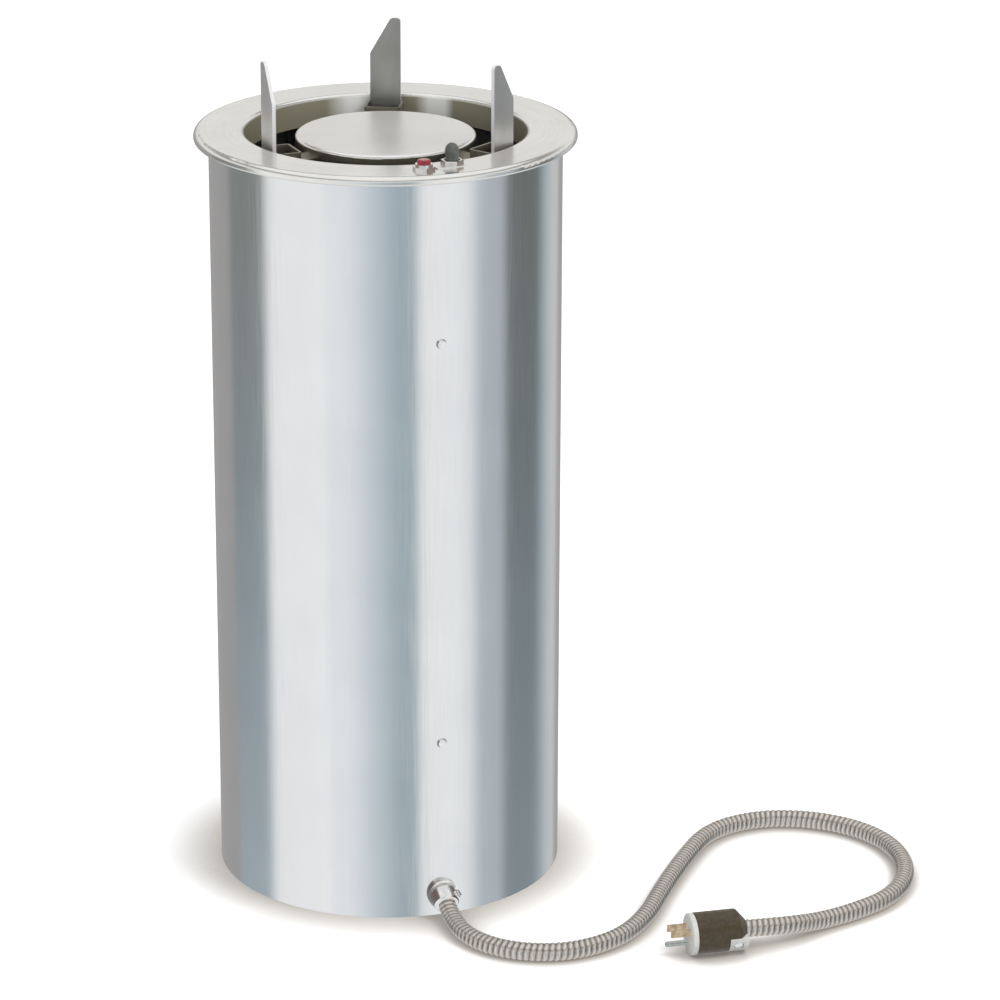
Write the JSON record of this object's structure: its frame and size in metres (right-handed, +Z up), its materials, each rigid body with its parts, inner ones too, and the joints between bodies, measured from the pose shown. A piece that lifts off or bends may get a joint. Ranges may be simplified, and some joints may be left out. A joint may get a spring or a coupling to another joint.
{
  "type": "drop-in heated plate dispenser",
  "caption": "Round drop-in heated plate dispenser: flanged steel well, sprung plate carrier between guide posts, tubular heater, toggle switch, pilot light and conduit cord with plug.",
  "frame": {"origin": "centre of the base on the surface it stands on, on the well's axis", "axes": "+Z up along the well's axis; -Y towards the switch and pilot light side, the front"},
  "size_m": [0.6362, 0.4116, 0.7433],
  "materials": {
    "satin_stainless": "satin rolled stainless sheet",
    "spun_flange": "satin spun stainless",
    "well_sheet": "dull galvanised sheet",
    "post_bar": "brushed bar, bright edges",
    "carrier_steel": "brushed sheet",
    "spring_steel": "drawn wire",
    "fastener": "bright plated",
    "nylon": "moulded nylon",
    "bumper_rubber": "moulded rubber",
    "boot_rubber": "moulded rubber, satin",
    "wool": "mineral wool blanket",
    "heater_sheath": "oxidised alloy sheath",
    "control_plastic": "phenolic moulding",
    "lens_red": "clear red lens",
    "legend_metal": "bright plate",
    "connector_zinc": "bright zinc casting",
    "conduit_steel": "interlocked strip, bare",
    "plug_dark": "moulded dark body",
    "plug_pale": "pale insulating face",
    "blade_brass": "plain brass",
    "pin_steel": "plated"
  },
  "bodies": {
    "cabinet": {"outer_shell": "satin_stainless", "bottom_pan": "satin_stainless", "top_flange": "spun_flange", "well_liner": "well_sheet", "well_floor": "well_sheet", "insulation_blanket": "wool", "base_insulation": "wool", "guide_post_rear": "post_bar", "guide_post_left": "post_bar", "guide_post_right": "post_bar", "post_brackets": "well_sheet", "post_screws": "fastener", "spring_hangers": "well_sheet", "lift_springs": "spring_steel", "up_stop_brackets": "well_sheet", "up_stop_bumpers": "bumper_rubber", "down_stop_legs": "well_sheet", "down_stop_bumpers": "bumper_rubber", "heater_element": "heater_sheath", "heater_fittings": "blade_brass", "heater_terminals": "pin_steel", "heater_clips": "well_sheet", "thermostat": "control_plastic", "high_limit": "control_plastic", "junction_box": "well_sheet", "junction_cover": "well_sheet", "wire_raceway": "well_sheet", "shell_screws": "fastener", "control_box": "well_sheet", "switch_body": "control_plastic", "legend_plate": "legend_metal", "switch_nut": "fastener", "pilot_body": "control_plastic", "pilot_bezel": "fastener", "pilot_lens": "lens_red", "conduit_connector": "connector_zinc", "connector_locknut": "fastener", "conduit": "conduit_steel", "plug_body": "plug_dark", "plug_face": "plug_pale", "plug_blades": "blade_brass", "plug_ground_pin": "pin_steel", "connector_screw": "fastener", "plug_clamp": "plug_pale", "clamp_screws": "fastener"},
    "carrier": {"platform_disc": "spun_flange", "platform_boss": "carrier_steel", "platform_spider": "carrier_steel", "guide_channels": "carrier_steel", "upper_glides": "nylon", "lower_glides": "nylon", "carrier_plate": "carrier_steel", "carrier_collar": "carrier_steel"},
    "switch_lever": {"switch_lever": "pin_steel", "switch_boot": "boot_rubber"}
  },
  "joints": [
    {"name": "carrier_slide", "type": "slide", "parent": "cabinet", "child": "carrier", "axis": [0, 0, 1], "range_m": [-0.38, 0], "stiffness_N_per_m": 700, "springref_m": 0.06, "deforming": ["lift_springs"]},
    {"name": "switch_toggle", "type": "hinge", "parent": "cabinet", "child": "switch_lever", "pos_m": [0.05837, -0.12129, 0.6765], "axis": [0.9011, 0.4337, 0], "range_deg": [-12, 12]}
  ]
}
